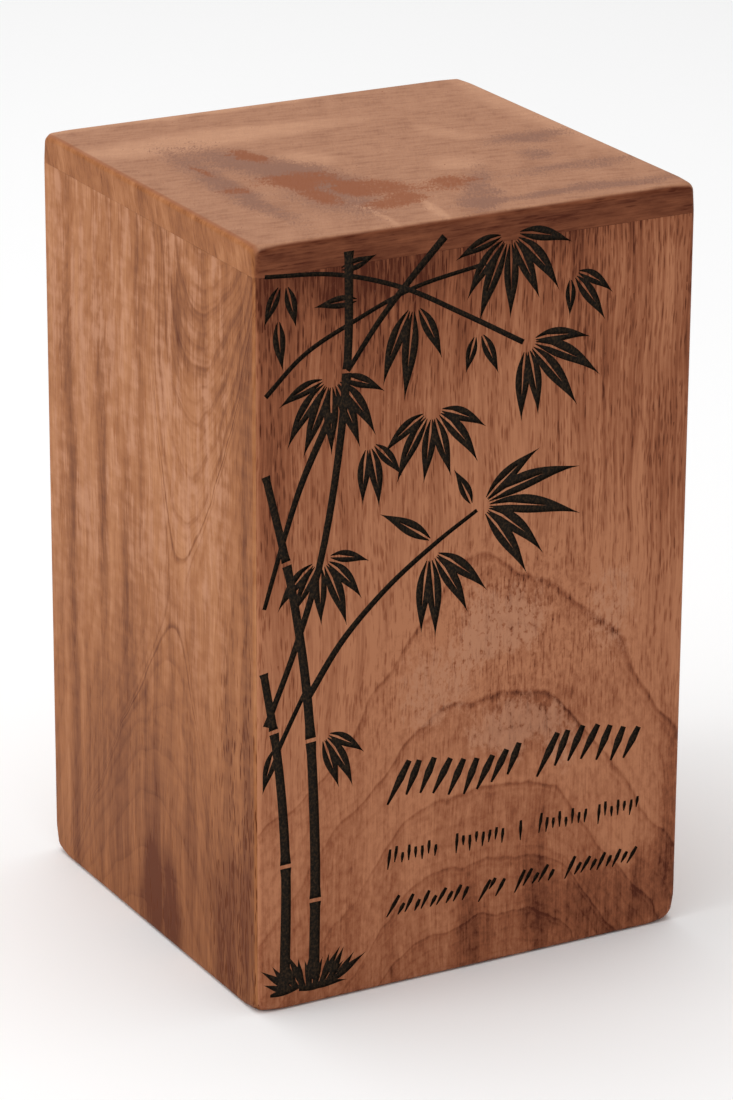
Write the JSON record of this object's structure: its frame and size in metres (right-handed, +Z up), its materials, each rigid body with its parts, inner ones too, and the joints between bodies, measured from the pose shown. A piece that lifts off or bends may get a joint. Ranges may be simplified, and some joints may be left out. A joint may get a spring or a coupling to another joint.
{
  "type": "cremation urn box",
  "caption": "Tall wooden memorial box for ashes, with mitred walls, a lift-off lid, and bamboo and rows of plain strokes cut into its front.",
  "frame": {"origin": "middle of the underside, on the surface that the box stands on", "axes": "+Z up through the lid, the engraved front faces -Y, and +X is to its right"},
  "size_m": [0.148, 0.142, 0.24],
  "materials": {
    "case_wood": "satin red-brown hardwood, engraved parts burnt near black",
    "lid_wood": "satin pale red-brown hardwood with grey-brown figure"
  },
  "bodies": {
    "root": {"front_board": "case_wood", "back_board": "case_wood", "left_board": "case_wood", "right_board": "case_wood", "base_board": "case_wood", "lid": "lid_wood"}
  },
  "joints": []
}
